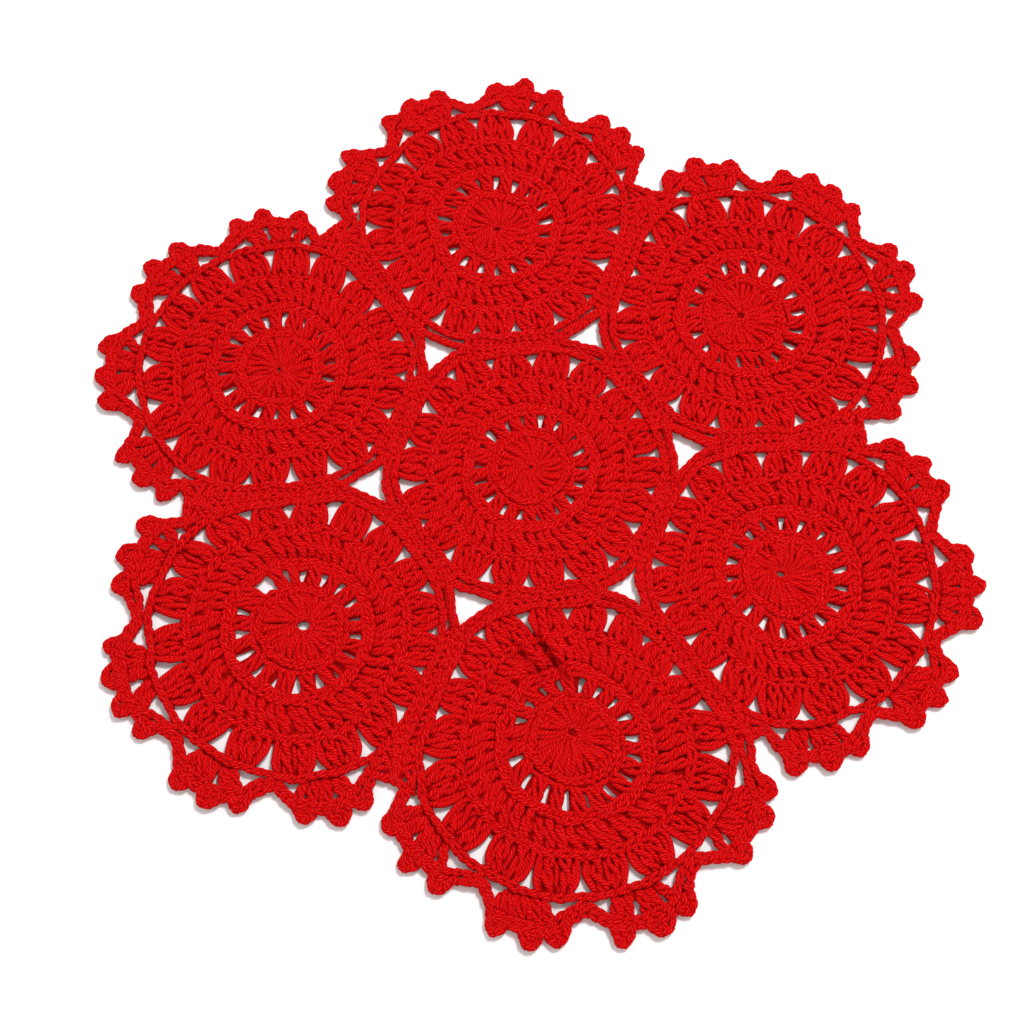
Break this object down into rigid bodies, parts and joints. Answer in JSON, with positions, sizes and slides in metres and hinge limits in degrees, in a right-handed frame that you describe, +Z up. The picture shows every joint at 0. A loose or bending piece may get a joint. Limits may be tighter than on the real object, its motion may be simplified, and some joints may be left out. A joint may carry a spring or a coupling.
{
  "type": "crocheted lace doily",
  "caption": "Flat openwork doily of round crocheted motifs joined in a lobed rosette, with a scalloped picot edge and small gaps round its centre.",
  "frame": {"origin": "under the middle of the centre motif, on the surface that the doily lies on", "axes": "+Z up out of the surface; +Y through the middle of the back motif, opposite the front motif with the ruck; X across"},
  "size_m": [0.2466, 0.2647, 0.0058],
  "materials": {
    "red_cotton": "bright red plied cotton yarn, matt with a slight shine on the strands"
  },
  "bodies": {
    "root": {"doily": "red_cotton"}
  },
  "joints": []
}
